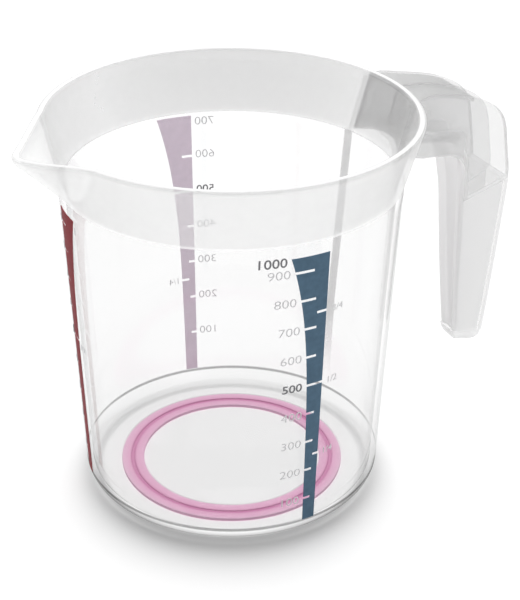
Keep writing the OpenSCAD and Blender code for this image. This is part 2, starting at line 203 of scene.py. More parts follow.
# ---------------------------------------------------------------- materials
class Nodes:
    """Short hand for building a material's node tree."""

    def __init__(self, name):
        self.mat = bpy.data.materials.new(name)
        self.mat.use_nodes = True
        self.nt = self.mat.node_tree
        self.nt.nodes.clear()
        self.out = self.add("ShaderNodeOutputMaterial")

    def add(self, kind, **props):
        n = self.nt.nodes.new(kind)
        for k, v in props.items():
            setattr(n, k, v)
        return n

    def set(self, node, **values):
        for k, v in values.items():
            node.inputs[k.replace("_", " ")].default_value = v
        return node

    def link(self, a, b):
        self.nt.links.new(a, b)

    def coords(self, scale=(1, 1, 1)):
        tc = self.add("ShaderNodeTexCoord")
        mp = self.add("ShaderNodeMapping")
        mp.inputs["Scale"].default_value = scale
        self.link(tc.outputs["Object"], mp.inputs["Vector"])
        return mp.outputs["Vector"]

    def noise(self, vec, scale, detail=3.0, rough=0.5):
        n = self.add("ShaderNodeTexNoise")
        self.set(n, Scale=scale, Detail=detail, Roughness=rough)
        self.link(vec, n.inputs["Vector"])
        return n.outputs["Fac"]

    def remap(self, value, a, b, c, d):
        n = self.add("ShaderNodeMapRange")
        n.clamp = True
        for i, v in zip((1, 2, 3, 4), (a, b, c, d)):
            n.inputs[i].default_value = v
        self.link(value, n.inputs[0])
        return n.outputs[0]

    def ramp(self, value, stops):
        n = self.add("ShaderNodeValToRGB")
        e = n.color_ramp.elements
        while len(e) < len(stops):
            e.new(0.5)
        for el, (pos, col) in zip(e, stops):
            el.position = pos
            el.color = (*col, 1)
        self.link(value, n.inputs[0])
        return n.outputs["Color"]

    def bump(self, height, strength, distance):
        n = self.add("ShaderNodeBump")
        self.set(n, Strength=strength, Distance=distance)
        self.link(height, n.inputs["Height"])
        return n.outputs["Normal"]

    def calc(self, op, *args):
        n = self.add("ShaderNodeMath", operation=op)
        for i, a in enumerate(args):
            if isinstance(a, (int, float)):
                n.inputs[i].default_value = a
            else:
                self.link(a, n.inputs[i])
        return n.outputs[0]

    def where(self):
        """Sockets for x, y, z and the distance from the jug's axis, in metres."""
        tc = self.add("ShaderNodeTexCoord")
        xyz = self.add("ShaderNodeSeparateXYZ")
        self.link(tc.outputs["Object"], xyz.inputs[0])
        x, y, z = xyz.outputs
        rad = self.calc("SQRT", self.calc("ADD", self.calc("MULTIPLY", x, x), self.calc("MULTIPLY", y, y)))
        return x, y, z, rad

    def facing(self, blend=0.5):
        return self.set(self.add("ShaderNodeLayerWeight"), Blend=blend).outputs["Facing"]

    def blend(self, fac, a, b):
        n = self.add("ShaderNodeMix", data_type="RGBA")
        self.link(fac, n.inputs[0])
        for c, sock in ((a, n.inputs[6]), (b, n.inputs[7])):
            if isinstance(c, tuple):
                sock.default_value = (*c, 1)
            else:
                self.link(c, sock)
        return n.outputs[2]

    def mix(self, fac, a, b):
        n = self.add("ShaderNodeMixShader")
        self.link(fac, n.inputs[0])
        self.link(a.outputs[0], n.inputs[1])
        self.link(b.outputs[0], n.inputs[2])
        return n


def grey(v):
    return (v, v, v)


def clear_plastic():
    """Clear wall: what is behind shows straight through, greyer where the wall is seen along its length."""
    m = Nodes("clear_plastic")
    v = m.coords()
    x, y, z, rad = m.where()
    f = m.facing()
    wall = m.ramp(f, [(0, grey(0.966)), (0.6, grey(0.96)), (0.78, grey(0.92)), (0.92, grey(0.62)), (1, grey(0.45))])
    corner = m.ramp(f, [(0, grey(0.965)), (0.4, grey(0.96)), (0.6, grey(0.92)), (0.8, grey(0.80)), (1, grey(0.55))])
    low = m.calc("MULTIPLY", m.remap(z, (CORNER_Z - 0.6) * MM, (CORNER_Z + 0.3) * MM, 1, 0), m.remap(rad, 0.0481, 0.0492, 0, 1))
    tint = m.blend(low, wall, corner)
    # the clear floor is tinted darker than the wall: partly for its thicker plastic, partly as painted shade standing
    # in for the shaded table under it
    flat = m.calc("MULTIPLY", m.remap(z, 0.0036, 0.0042, 1, 0), m.remap(rad, 0.0484, 0.0494, 1, 0))
    tint = m.blend(flat, tint, grey(0.90))
    # painted shade: a fine dark line painted outside, where the straight wall runs into the rounded corner
    outside = m.remap(m.calc("MULTIPLY_ADD", z, -SLOPE, rad), (BASE_R - 1.2) * MM, (BASE_R - 0.8) * MM, 0, 1)
    painted_shade_line = m.remap(m.calc("ABSOLUTE", m.calc("SUBTRACT", z, CORNER_Z * MM)), 0.0003, 0.0008, 1, 0)
    thin = m.add("ShaderNodeBsdfTransparent")
    m.link(m.blend(m.calc("MULTIPLY", m.calc("MULTIPLY", painted_shade_line, outside), 0.95), tint, grey(0.36)), thin.inputs["Color"])
    gloss = m.set(m.add("ShaderNodeBsdfGlossy"), Color=(1, 1, 1, 1))
    m.link(m.remap(m.noise(v, 900, 2), 0.3, 0.7, 0.0, 0.04), gloss.inputs["Roughness"])
    m.link(m.bump(m.noise(v, 34, 2), 0.04, 0.0004), gloss.inputs["Normal"])
    shine = m.calc("MULTIPLY_ADD", m.calc("POWER", f, 4.5), 0.85, 0.03)
    shine = m.calc("MULTIPLY", shine, m.remap(z, 0.0075, 0.010, 0.12, 1))
    body = m.mix(shine, thin, gloss)
    # a narrow light-grey strip down the outside, leaning a little with height
    p = m.set(m.add("ShaderNodeBsdfPrincipled"), IOR=1.47, Specular_IOR_Level=0.3, Roughness=0.45)
    m.link(m.ramp(m.noise(v, 60, 3), [(0.3, grey(0.57)), (0.7, grey(0.61))]), p.inputs["Base Color"])
    lean = m.remap(z, 0.045, 0.112, math.radians(-21.3), math.radians(-18.4))
    turn = m.calc("ABSOLUTE", m.calc("ADD", m.calc("ARCTAN2", y, x), lean))
    strip = m.calc("MULTIPLY", m.remap(turn, math.radians(1.5), math.radians(2.1), 0.66, 0), outside)
    strip = m.calc("MULTIPLY", strip, m.remap(z, 0.012, 0.040, 0, 1))
    body = m.mix(strip, body, p)
    # lamps reach what is inside and under the jug; light that enters low through the outside is held back
    t = m.add("ShaderNodeBsdfTransparent")
    geo = m.add("ShaderNodeNewGeometry")
    path = m.add("ShaderNodeLightPath")
    foot = m.calc("MULTIPLY", m.remap(z, CORNER_Z * MM, (CORNER_Z + 0.3) * MM, 1, 0), m.remap(rad, 0.0468, 0.0478, 0, 1))
    foot = m.calc("MULTIPLY", foot, m.remap(f, 0.12, 0.42, 1, 0))
    du = m.calc("SUBTRACT", rad, (cone_r(CORNER_Z) - FOOT_ROUND) * MM)
    dv = m.calc("SUBTRACT", z, CORNER_Z * MM)
    far2 = m.calc("ADD", m.calc("MULTIPLY", du, du), m.calc("MULTIPLY", dv, dv))
    foot = m.calc("MULTIPLY", foot, m.remap(far2, 1.6e-5, 2.2e-5, 0, 1))      # the outer rounding, not the fillet inside
    enter = m.calc("MULTIPLY", m.calc("SUBTRACT", 1.0, geo.outputs["Backfacing"]), m.calc("MAXIMUM", outside, foot))
    enter = m.calc("MULTIPLY", enter, m.remap(path.outputs["Ray Length"], 0.0004, 0.0008, 0, 1))
    held = m.ramp(m.remap(z, 0.0, 0.08, 0, 1), [(0.03, grey(0.20)), (0.075, grey(0.25)), (0.125, grey(0.35)), (0.20, grey(0.54)),
                                               (0.29, grey(0.70)), (0.42, grey(0.84)), (0.62, grey(0.94)), (0.9, grey(0.985))])
    m.link(m.blend(enter, grey(0.985), held), t.inputs["Color"])
    far = m.calc("MAXIMUM", path.outputs["Is Shadow Ray"], path.outputs["Is Diffuse Ray"])
    m.link(m.mix(far, body, t).outputs[0], m.out.inputs["Surface"])
    return m.mat


def frosted(name, tone, film, collar=False):
    """Finely textured translucent plastic: a white film that veils what lies behind it."""
    m = Nodes(name)
    v = m.coords()
    x, y, z, rad = m.where()
    f = m.facing()
    p = m.set(m.add("ShaderNodeBsdfPrincipled"), IOR=1.47, Specular_IOR_Level=0.3)
    col = m.ramp(m.noise(v, 55, 4), [(0.3, grey(tone * 0.992)), (0.7, grey(tone))])
    grain = m.noise(v, 3200, 2, 0.6)
    m.link(m.remap(grain, 0.3, 0.7, 0.42, 0.56), p.inputs["Roughness"])
    m.link(m.bump(grain, 0.05, 0.00005), p.inputs["Normal"])
    veil = m.calc("ADD", m.ramp(f, [(a, grey(b)) for a, b in film]), m.remap(m.noise(v, 240, 3), 0.3, 0.7, -0.006, 0.006))
    geo = m.add("ShaderNodeNewGeometry")
    nrm = m.add("ShaderNodeSeparateXYZ")
    m.link(geo.outputs["Normal"], nrm.inputs[0])
    nx, ny, nz = nrm.outputs
    wide = m.calc("ABSOLUTE", y)
    if collar:
        k = (RIM_R - BAND_R) / (RIM_Z - BAND_Z)
        q = m.calc("MULTIPLY_ADD", z, -k, rad)          # distance from the axis, less the collar's flare
        r_out = (BAND_R - k * BAND_Z) * MM
        # painted shade: the inside of the round band is painted a little darker than the outside, darker still where
        # seen at a slant
        inner_band_shade = m.remap(q, r_out - 0.0018, r_out - 0.0012, 1, 0)
        col = m.blend(inner_band_shade, col, m.ramp(f, [(0, grey(0.86)), (0.3, grey(0.73)), (0.55, grey(0.62)), (0.85, grey(0.60))]))
        # the spout: painted shade along the fold on each side of the trough, and painted shade on its underside
        turn = m.calc("ABSOLUTE", m.calc("ARCTAN2", y, m.calc("MULTIPLY", x, -1.0)))
        beak = m.remap(turn, math.radians(27), math.radians(30), 1, 0)
        fold_shade = m.calc("SUBTRACT", m.remap(q, r_out - 0.0021, r_out - 0.0019, 0, 1), m.remap(q, r_out - 0.0016, r_out - 0.0013, 0, 1))
        col = m.blend(m.calc("MULTIPLY", m.calc("MULTIPLY", fold_shade, beak), 0.5), col, grey(0.42))
        underside_shade = m.calc("MULTIPLY", m.remap(q, r_out + 0.0002, r_out + 0.0012, 0, 1), m.remap(nz, -0.15, 0.0, 1, 0))
        col = m.blend(underside_shade, col, grey(0.78))
        # painted shade: where the handle is joined the collar is painted darker and a little denser, standing in for
        # the shaded handle root seen through it
        sole = m.remap(wide, 0.0069, 0.0154, 0.1187, 0.1148)
        joint_shade = m.calc("MULTIPLY", m.remap(wide, 0.0160, 0.0164, 1, 0), m.remap(m.calc("SUBTRACT", z, sole), -0.0002, 0.0004, 0, 1))
        joint_shade = m.calc("MULTIPLY", m.calc("MULTIPLY", joint_shade, m.remap(x, 0.03, 0.04, 0, 1)), m.remap(z, 0.1348, 0.1352, 1, 0))
        col = m.blend(joint_shade, col, grey(0.60))
        veil = m.calc("MULTIPLY_ADD", joint_shade, 0.16, veil)
        # the rim is a thick bead, painted darker where seen edge-on, with a painted shade line under it; both follow
        # the lip down to the spout's tip
        t = m.remap(turn, 0.0, math.radians(26), 1, 0)
        ease = m.calc("MULTIPLY", m.calc("MULTIPLY", t, t), m.calc("MULTIPLY_ADD", t, -2.0, 3.0))
        height = m.calc("MULTIPLY_ADD", ease, SPOUT_DROP * MM, z)
        top = m.remap(height, (RIM_Z - 0.45) * MM, (RIM_Z - 0.2) * MM, 0, 1)
        painted_shade_line = m.calc("SUBTRACT", m.remap(height, (RIM_Z - 1.3) * MM, (RIM_Z - 1.1) * MM, 0, 1), top)
        bead_edge_shade = m.ramp(f, [(0, grey(0.9)), (0.62, grey(0.9)), (0.84, grey(0.6)), (1, grey(0.4))])
        col = m.blend(top, m.blend(m.calc("MULTIPLY", painted_shade_line, 0.22), col, grey(0.6)), bead_edge_shade)
        veil = m.calc("MAXIMUM", m.calc("MULTIPLY_ADD", painted_shade_line, 0.05, veil), m.calc("MULTIPLY", top, 0.9))
    else:
        root = m.remap(x, 0.066, 0.084, 1, 0)           # a little thicker where it leaves the collar
        veil = m.calc("MULTIPLY_ADD", root, 0.06, veil)
        # painted shade: the walls' outer edges are painted darker and denser, as they catch less light
        edge = m.calc("MULTIPLY", m.remap(m.calc("ABSOLUTE", ny), 0.35, 0.6, 1, 0), m.remap(m.calc("ADD", nx, nz), 0.2, 0.5, 0, 1))
        col = m.blend(edge, col, grey(0.66))
        veil = m.calc("MULTIPLY_ADD", edge, 0.14, veil)
        # painted shade: so are the roof over the root and the arm's lower edge
        roof = m.calc("MULTIPLY", m.remap(nz, 0.75, 0.92, 0, 1), m.remap(x, 0.086, 0.089, 1, 0))
        arm_shade = m.calc("MULTIPLY", m.remap(x, 0.082, 0.090, 1, 0), m.remap(z, 0.1185, 0.1215, 1, 0))
        roof_and_arm_shade = m.calc("MAXIMUM", roof, arm_shade)
        col = m.blend(roof, m.blend(arm_shade, col, grey(0.64)), grey(0.46))
        veil = m.calc("MULTIPLY_ADD", roof_and_arm_shade, 0.16, veil)
        # the finger side and the outside of the closed lower grip are thick
        finger = m.calc("MULTIPLY", m.remap(nx, -0.6, -0.35, 1, 0), m.remap(x, 0.094, 0.097, 1, 0))
        low = m.remap(m.calc("MULTIPLY_ADD", x, -0.503, z), 0.0450, 0.0460, 1, 0)
        # painted shade: the finger-facing faces at the handle's outer back, above the closed grip, are painted darker
        # and denser
        back_edge_shade = m.calc("MULTIPLY", m.remap(nx, -0.6, -0.35, 1, 0), m.remap(x, 0.094, 0.097, 0, 1))
        back_edge_shade = m.calc("MULTIPLY", m.calc("MULTIPLY", back_edge_shade, m.calc("SUBTRACT", 1.0, low)), m.remap(wide, 0.009, 0.0105, 0, 1))
        col = m.blend(back_edge_shade, col, grey(0.6))
        veil = m.calc("MULTIPLY_ADD", back_edge_shade, 0.3, veil)
        side = m.remap(m.calc("MULTIPLY", ny, m.calc("SIGN", y)), 0.5, 0.8, 0, 1)
        back = m.calc("MULTIPLY", m.remap(nx, 0.5, 0.8, 0, 1), m.remap(x, 0.099, 0.101, 0, 1))
        sole = m.remap(nz, -0.5, -0.2, 1, 0)
        cap = m.remap(nz, 0.5, 0.8, 0, 1)
        shut = m.calc("MULTIPLY", low, m.calc("MAXIMUM", m.calc("MAXIMUM", side, back), m.calc("MAXIMUM", sole, cap)))
        thick = m.calc("MAXIMUM", finger, shut)
        # painted shade: the thick faces are toned by which way they face: tops darkest, undersides and the finger side
        # a little darker than the rest
        facing_shade_tones = m.blend(finger, m.blend(sole, m.blend(cap, grey(0.99), grey(0.6)), grey(0.80)), grey(0.90))
        col = m.blend(thick, col, facing_shade_tones)
        veil = m.calc("MAXIMUM", veil, m.calc("MULTIPLY", thick, 0.74))
        # painted shade: every face is painted darker where it is seen edge-on
        edge_on_shade = m.ramp(f, [(0, grey(1)), (0.72, grey(1)), (0.9, grey(0.8)), (1, grey(0.6))])
        both = m.add("ShaderNodeMix", data_type="RGBA", blend_type="MULTIPLY")
        both.inputs[0].default_value = 1.0
        m.link(col, both.inputs[6])
        m.link(edge_on_shade, both.inputs[7])
        col = both.outputs[2]
    m.link(col, p.inputs["Base Color"])
    m.link(veil, p.inputs["Alpha"])
    m.link(p.outputs[0], m.out.inputs["Surface"])
    return m.mat


def soft_pink():
    m = Nodes("pink_rubber")
    v = m.coords()
    geo = m.add("ShaderNodeNewGeometry")
    flat = m.add("ShaderNodeVectorMath", operation="MULTIPLY")
    flat.inputs[1].default_value = (1, 1, 0)
    m.link(geo.outputs["Position"], flat.inputs[0])
    rad = m.add("ShaderNodeVectorMath", operation="LENGTH")
    m.link(flat.outputs[0], rad.inputs[0])
    across = m.remap(rad.outputs["Value"], RING_IN * MM, RING_OUT * MM, 0, 1)
    wob = m.add("ShaderNodeMath", operation="MULTIPLY_ADD")
    m.link(m.noise(v, 60, 3), wob.inputs[0])
    wob.inputs[1].default_value = 0.06
    m.link(across, wob.inputs[2])
    # painted shade: the ring is painted darker along its middle, where the groove runs
    col = m.ramp(wob.outputs[0], [(0.06, (0.76, 0.42, 0.60)), (0.36, (0.74, 0.355, 0.55)), (0.47, (0.58, 0.18, 0.38)),
                                  (0.60, (0.58, 0.18, 0.38)), (0.70, (0.74, 0.355, 0.55)), (1.0, (0.76, 0.44, 0.61))])
    p = m.set(m.add("ShaderNodeBsdfPrincipled"), IOR=1.45, Specular_IOR_Level=0.3)
    m.link(col, p.inputs["Base Color"])
    grain = m.noise(v, 1500, 3)
    m.link(m.remap(grain, 0.3, 0.7, 0.45, 0.6), p.inputs["Roughness"])
    m.link(m.bump(grain, 0.1, 0.0001), p.inputs["Normal"])
    m.link(p.outputs[0], m.out.inputs["Surface"])
    return m.mat


def ink(name, colour, spread):
    """Screen-printed ink: slightly uneven in tone, with a fine mesh-like grain."""
    m = Nodes(name)
    v = m.coords()
    dark = tuple(max(0.0, c * (1 - spread)) for c in colour)
    light = tuple(min(1.0, c * (1 + spread)) for c in colour)
    p = m.set(m.add("ShaderNodeBsdfPrincipled"), IOR=1.5, Specular_IOR_Level=0.06)
    m.link(m.ramp(m.noise(v, 420, 5, 0.6), [(0.32, dark), (0.68, light)]), p.inputs["Base Color"])
    grain = m.noise(v, 2600, 2)
    m.link(m.remap(grain, 0.3, 0.7, 0.42, 0.58), p.inputs["Roughness"])
    m.link(m.bump(grain, 0.08, 0.00005), p.inputs["Normal"])
    m.link(p.outputs[0], m.out.inputs["Surface"])
    return m.mat


CLEAR = clear_plastic()
FROST = frosted("frosted_plastic", 0.90, [(0, 0.45), (0.28, 0.31), (0.6, 0.38), (1, 0.62)], collar=True)
GRIP = frosted("handle_plastic", 0.75, [(0, 0.20), (0.6, 0.25), (1, 0.5)])
PINK = soft_pink()
BLUE = ink("blue_ink", (0.092, 0.160, 0.230), 0.10)
RED = ink("red_ink", (0.23, 0.012, 0.020), 0.12)
MAUVE = ink("mauve_ink", (0.79, 0.67, 0.78), 0.04)
GREY = ink("grey_ink", (0.66, 0.66, 0.67), 0.06)
BOLD = ink("dark_grey_ink", (0.22, 0.22, 0.23), 0.08)

# ---------------------------------------------------------------- vessel
N_TURN = 288


def vessel():
    wi = lambda z: cone_r(z) - WALL
    cf = FLOOR_Z + FLOOR_FILLET
    seat = FOOT_Z + RING_SEAT
    prof = [(0, FOOT_Z), (RING_IN - 0.5, FOOT_Z)]
    prof += arc(RING_IN - 0.5, FOOT_Z + 0.15, 0.15, -90, 0, 3)
    prof += [(RING_IN - 0.3, seat), (RING_OUT + 0.3, seat)]
    prof += arc(RING_OUT + 0.5, FOOT_Z + 0.15, 0.15, -180, -90, 3)
    prof += arc(cone_r(FOOT_Z + FOOT_ROUND) - FOOT_ROUND, FOOT_Z + FOOT_ROUND, FOOT_ROUND, -90, -3, 20)
    prof += [(cone_r(z), z) for z in [CORNER_Z + (BAND_Z - 0.2 - CORNER_Z) * i / 24 for i in range(25)]]
    prof += [(BAND_R - 0.1, BAND_Z - 0.02), (wi(BAND_Z) + 0.1, BAND_Z - 0.02)]
    prof += [(wi(z), z) for z in [BAND_Z - 0.2 + (cf + 0.5 - BAND_Z + 0.2) * i / 24 for i in range(25)]]
    prof += arc(wi(cf) - FLOOR_FILLET, cf, FLOOR_FILLET, -2, -90, 18)
    prof += [(30, FLOOR_Z), (12, FLOOR_Z), (0, FLOOR_Z)]
    return make("vessel_clear", *lathe(prof, N_TURN), CLEAR, 40, ("vessel",), "clear_plastic")


# ---------------------------------------------------------------- collar
def plan_r(a, big, tip, centre):
    """Radius at the angle a from the spout's middle: a circle joined to the tip circle by a straight flank."""
    h = SPOUT_FOLD * math.acos(min(1.0, (big - tip) / centre))
    p, q = big * math.sin(h), centre - big * math.cos(h)
    turn = math.atan2(q, p) + math.asin(min(1.0, tip / math.hypot(p, q)))
    a = math.radians(a)
    if a <= math.atan2(tip * math.sin(turn), centre + tip * math.cos(turn)):
        flank = centre * math.cos(a) + math.sqrt(max(0, tip * tip - (centre * math.sin(a)) ** 2))
    else:
        flank = (centre * math.cos(turn) + tip) / math.cos(min(a, turn) - turn)
    return max(flank, big)


def spout_c(z):
    share = min(1.0, max(0.0, (z - BAND_Z) / (RIM_Z - 3 - BAND_Z))) ** SPOUT_POWER
    return collar_r(z) - SPOUT_TIP + (SPOUT_REACH - RIM_R) * share


def out_r(th, z):
    return plan_r(abs(th - 180), collar_r(z), SPOUT_TIP, spout_c(z))


def in_r(th, z):
    t = collar_t(z)
    return plan_r(abs(th - 180), collar_r(z) - t, SPOUT_TIP - t, spout_c(z))


def collar():
    turns = [i * 1.25 for i in range(112)]
    turns += [140 + i * 0.8 for i in range(37)] + [169.6 + i * 0.26 for i in range(80)]
    turns += [190.4 + i * 0.8 for i in range(37)] + [220 + i * 1.25 for i in range(112)]
    zt = RIM_Z - RIM_ROUND
    rings = []
    for th in turns:
        ro, ri = out_r(th, zt), in_r(th, zt)
        mid, w = (ro + ri) / 2, (ro - ri) / 2
        lift = -SPOUT_DROP * smooth(1 - abs(th - 180) / 26)
        sink = lambda z: z + lift * (z - BAND_Z) / (zt - BAND_Z)
        sec = [(out_r(th, z), sink(z)) for z in [BAND_Z + 0.15 + (zt - BAND_Z - 0.15) * i / 18 for i in range(19)]]
        sec += [(mid + w * math.cos(math.radians(a)), zt + lift + RIM_ROUND * math.sin(math.radians(a))) for a in range(12, 180, 12)]
        sec += [(in_r(th, z), sink(z)) for z in [zt + (BAND_Z + 0.15 - zt) * i / 18 for i in range(19)]]
        sec += [(in_r(th, BAND_Z) + 0.15, BAND_Z), (out_r(th, BAND_Z) - 0.15, BAND_Z)]
        c, s = math.cos(math.radians(th)), math.sin(math.radians(th))
        rings.append([(r * c, r * s, z) for r, z in sec])
    return make("collar_frosted", *loft(rings, closed=True), FROST, 50, ("collar",), "frosted_plastic")


# ---------------------------------------------------------------- handle
G, R0 = GRIP_HALF, ROOT_HALF
STATIONS = [
    (63.8, 113.4, 65.2, 135.5, R0 - 0.8, R0 - 0.8, 3.8),
    (67.1, 112.3, 68.0, 135.4, G + 1.9, G + 1.9, 3.6),
    (70.6, 111.5, 71.2, 135.1, G + 0.6, G + 0.6, 3.3),
    (75.0, 110.8, 76.2, 134.3, G, G, 3.0),
    (79.5, 110.1, 84.3, 132.4, G - 0.3, G, 2.6),
    (83.6, 107.9, 92.1, 129.2, G - 1.1, G, 2.3),
    (85.8, 104.6, 98.0, 125.2, G - 2.0, G, 2.0),
    (86.7, 100.2, 101.4, 119.6, G - 2.7, G, 1.8),
    (87.1, 95.2, 103.3, 109.2, G - 3.6, G, 1.6),
    (87.5, 89.7, 104.7, 98.3, G - 4.4, G, 1.5),
    (88.3, 74.7, 104.4, 79.6, G - 5.2, G - 1.4, 1.4),
    (89.2, 58.0, 103.8, 60.4, G - 6.3, G - 2.9, 1.3),
    (90.2, 43.7, 103.2, 44.5, G - 7.2, G - 4.2, 1.2),
    (91.1, 32.9, 102.6, 32.7, G - 7.9, G - 5.2, 1.1)]
KINK, ROOF_END = 9, 4.5


def station(x):
    n = len(STATIONS)
    i = min(n - 2, int(math.floor(x)))
    t = x - i
    a, b, c, d = (STATIONS[max(0, i - 1)], STATIONS[i], STATIONS[i + 1], STATIONS[min(n - 1, i + 2)])
    return [0.5 * (2 * q + (r - p) * t + (2 * p - 5 * q + 4 * r - s) * t * t + (3 * q - p - 3 * r + s) * t ** 3)
            for p, q, r, s in zip(a, b, c, d)]


def shell_outline(s, cut):
    l = math.hypot(s[2] - s[0], s[3] - s[1])
    top = l - cut
    w = lambda u: s[4] + (s[5] - s[4]) * u / l
    ar, fl, rb = s[6], s[6] + WEB_T, RIB_T / 2
    pts = [(-w(top), top), (-w(1.2), 1.2), (-w(0) + 1.0, 0), (-0.42 * s[4], ar), (0.42 * s[4], ar),
           (w(0) - 1.0, 0), (w(1.2), 1.2), (w(top), top), (w(top) - SIDE_T, top), (w(fl) - SIDE_T, fl),
           (rb, fl), (rb, top), (-rb, top), (-rb, fl), (-w(fl) + SIDE_T, fl), (-w(top) + SIDE_T, top)]
    rad = [0.8, 1.6, 1.6, 3.0, 3.0, 1.6, 1.6, 0.8, 0.8, 1.2, 0.9, 0.75, 0.75, 0.9, 1.2, 0.8]
    return rounded(pts, rad, 4)


def place(s, outline):
    dx, dz = s[2] - s[0], s[3] - s[1]
    l = math.hypot(dx, dz)
    return [(s[0] + dx / l * v, u, s[1] + dz / l * v) for u, v in outline]


def handle_shell():
    root = (0, 114.8, 0, 135.2, R0, R0, 3.9)
    ring0 = []
    for x, y, z in place(root, shell_outline(root, 0)):
        ring0.append((math.sqrt((collar_r(z) + 0.04) ** 2 - y * y), y, z))
    rings = [ring0]
    steps = 10
    for i in range(KINK * steps + 1):
        s = station(i / steps)
        rings.append(place(s, shell_outline(s, 0)))
    last = len(STATIONS) - 1
    for i in range((last - KINK) * steps + 1):
        s = station(KINK + max(0.012, i / steps))
        rings.append(place(s, shell_outline(s, COVER_T + 0.05)))
    verts, faces = loft(rings)
    # a roof closes the channel at the root, in two halves beside the rib
    for side in (-1, 1):
        roof = []
        for k in range(int(ROOF_END * 2) + 2):
            s = root if k == 0 else station((k - 1) / 2)
            l, a, b = math.hypot(s[2] - s[0], s[3] - s[1]), RIB_T / 2 - 0.02, s[5] - SIDE_T + 0.02
            row = [a + (b - a) * i / 5 for i in range(6)]
            ring = place(s, [(side * u, l - 2.0) for u in row] + [(side * u, l - 0.4) for u in reversed(row)])
            if k == 0:
                ring = [(math.sqrt((collar_r(z) + 0.04) ** 2 - y * y), y, z) for x, y, z in ring]
            roof.append(ring)
        more, extra = loft(roof)
        faces += [tuple(len(verts) + i for i in f) for f in extra]
        verts += more
    return make("handle_channel", verts, faces, GRIP, 38, ("handle_shell",), "handle_plastic")


def handle_cover():
    def sect(s, start, inset):
        l = math.hypot(s[2] - s[0], s[3] - s[1])
        w = lambda u: s[4] + (s[5] - s[4]) * u / l - inset
        pts = [(-w(start), start + inset), (w(start), start + inset), (w(l), l - inset), (-w(l), l - inset)]
        return place(s, rounded(pts, [0.25 if start else 1.0, 0.25 if start else 1.0, 1.3, 1.3], 6))

    last = len(STATIONS) - 1
    rings, steps = [], 10
    for i in range((last - KINK) * steps + 1):
        s = station(KINK + max(0.012, i / steps))
        l = math.hypot(s[2] - s[0], s[3] - s[1])
        rings.append(sect(s, l - COVER_T, 0))
    s0 = STATIONS[-1]
    for k in range(0, 13):
        a = math.radians(90 * k / 12)
        drop, inset = 0.06 + 4.84 * math.sin(a), 3.2 * (1 - math.cos(a))
        s = (s0[0] + 0.06 * drop, s0[1] - drop, s0[2] - 0.06 * drop, s0[3] - drop, s0[4], s0[5], s0[6])
        rings.append(sect(s, 0, inset))
    return make("handle_grip_cover", *loft(rings), GRIP, 38, ("handle_cover",), "handle_plastic")


# ---------------------------------------------------------------- base ring
def base_ring():
    top = FOOT_Z + RING_SEAT - 0.03
    mid, g = (RING_IN + RING_OUT) / 2, RING_GROOVE / 2
    pts = [(RING_IN, 0), (mid - g, 0), (mid - g + 0.25, 0.45), (mid + g - 0.25, 0.45), (mid + g, 0), (RING_OUT, 0),
           (RING_OUT, top), (mid + g, top), (mid + g - 0.25, top - 0.3), (mid - g + 0.25, top - 0.3), (mid - g, top), (RING_IN, top)]
    prof = rounded(pts, [0.35, 0.12, 0.12, 0.12, 0.12, 0.35, 0.3, 0.15, 0.1, 0.1, 0.15, 0.3], 4)
    return make("base_ring_soft", *lathe(prof, N_TURN), PINK, 50, ("base_ring",), "pink_rubber")


# ---------------------------------------------------------------- prints
def bar_w(t):
    t = max(0.0, t)
    return 4.5 + 1.5 * t + 7.2 * t ** 4.4


def wrap(turn, u, z, lift):
    """A point u millimetres along the wall to the right of the angle turn, as seen from outside."""
    a = math.radians(turn) + math.asin(max(-1, min(1, u / cone_r(z))))
    r = cone_r(z) + lift
    return (r * math.cos(a), r * math.sin(a), z)


def bar(name, turn, z0, z1, side, full, plain, flared, material, node, slot):
    """A printed bar with unprinted ticks, built as a thin solid in rows between the tick edges."""
    h = TICK_T / 2
    cuts = {z0, z1}
    for z in full + plain + flared:
        cuts |= {z - h, z + h}
    cuts = sorted(c for c in cuts if z0 <= c <= z1)
    verts, faces, index = [], [], {}

    def vert(u, z, layer):
        key = (round(u, 4), round(z, 4), layer)
        if key not in index:
            index[key] = len(verts)
            verts.append(wrap(turn, u, z, 0.01 + INK * layer))
        return index[key]

    cells = set()
    for a, b in zip(cuts[:-1], cuts[1:]):
        zm = (a + b) / 2
        if any(abs(zm - z) < h for z in full):
            continue
        lo, hi = 0.0, 1.0                       # share of the width, from the straight edge
        if any(abs(zm - z) < h for z in plain):
            lo = 0.42
        if any(abs(zm - z) < h for z in flared):
            hi = 0.45
        rows = max(1, int(round((b - a) / 1.2)))
        for k in range(rows):
            cells.add((a + (b - a) * k / rows, a + (b - a) * (k + 1) / rows, lo, hi))
    fr = [0, 0.1, 0.21, 0.32, 0.42, 0.45, 0.56, 0.67, 0.78, 0.89, 1.0]
    quads = []
    for za, zb, lo, hi in sorted(cells):
        for f0, f1 in zip(fr[:-1], fr[1:]):
            if f0 < lo - 1e-6 or f1 > hi + 1e-6:
                continue
            wa, wb = side * bar_w((za - z0) / (z1 - z0)), side * bar_w((zb - z0) / (z1 - z0))
            quads.append(((f0 * wa, za), (f1 * wa, za), (f1 * wb, zb), (f0 * wb, zb)))
    edges = {}
    for q in quads:
        faces.append(tuple(vert(u, z, 1) for u, z in q))
        faces.append(tuple(vert(u, z, 0) for u, z in reversed(q)))
        for i in range(4):
            a, b = q[i], q[(i + 1) % 4]
            ka = (round(a[0], 4), round(a[1], 4))
            kb = (round(b[0], 4), round(b[1], 4))
            if (kb, ka) in edges:
                del edges[(kb, ka)]
            else:
                edges[(ka, kb)] = (a, b)
    for a, b in edges.values():
        faces.append((vert(*a, 0), vert(*b, 0), vert(*b, 1), vert(*a, 1)))
    return make(name, verts, faces, material, 50, (node,), slot)


